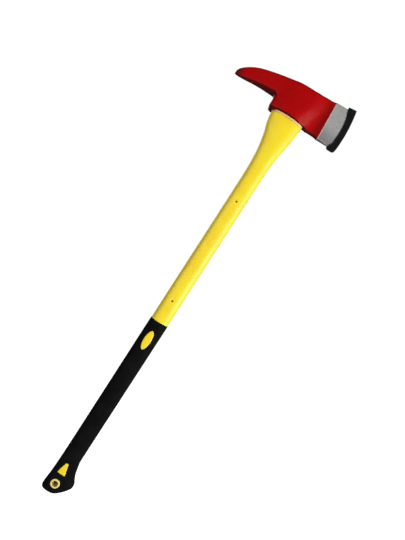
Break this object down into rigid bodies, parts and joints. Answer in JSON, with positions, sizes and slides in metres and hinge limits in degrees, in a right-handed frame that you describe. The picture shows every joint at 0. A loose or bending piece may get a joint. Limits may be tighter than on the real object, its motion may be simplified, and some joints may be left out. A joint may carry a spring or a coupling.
{
  "type": "fire axe",
  "caption": "Pick-head fire axe: forged head with pick and ground blade, slip-off rubber blade guard, moulded handle flaring into the eye, rubber grip hooked at the butt with a hang hole.",
  "frame": {"origin": "on the handle's axis, in the plane of the head's underside, where a wall bracket's prongs hold the head", "axes": "+Z along the handle towards the head, +X towards the cutting edge, the cheeks face +Y and -Y"},
  "size_m": [0.2405, 0.038, 0.9176],
  "materials": {
    "head_enamel": "red enamel on forged steel, with a bare ground bevel at the cutting edge",
    "guard_rubber": "matt black extruded rubber",
    "glass_fibre": "pultruded glass fibre rod",
    "jacket_plastic": "satin moulded yellow plastic",
    "grip_rubber": "matt black overmoulded rubber",
    "bushing_plastic": "pale yellow moulded plastic",
    "seal_compound": "cream sealing bead",
    "eye_resin": "cast amber bonding resin"
  },
  "bodies": {
    "axe": {"axe_head": "head_enamel", "handle_core": "glass_fibre", "handle_jacket": "jacket_plastic", "grip_sleeve": "grip_rubber", "hang_hole_bushing": "bushing_plastic", "eye_seal": "seal_compound", "eye_resin": "eye_resin"},
    "guard": {"blade_guard": "guard_rubber"}
  },
  "joints": [
    {"name": "guard_pull_off", "type": "slide", "parent": "axe", "child": "guard", "axis": [1, 0, 0], "range_m": [0, 0.04]}
  ]
}
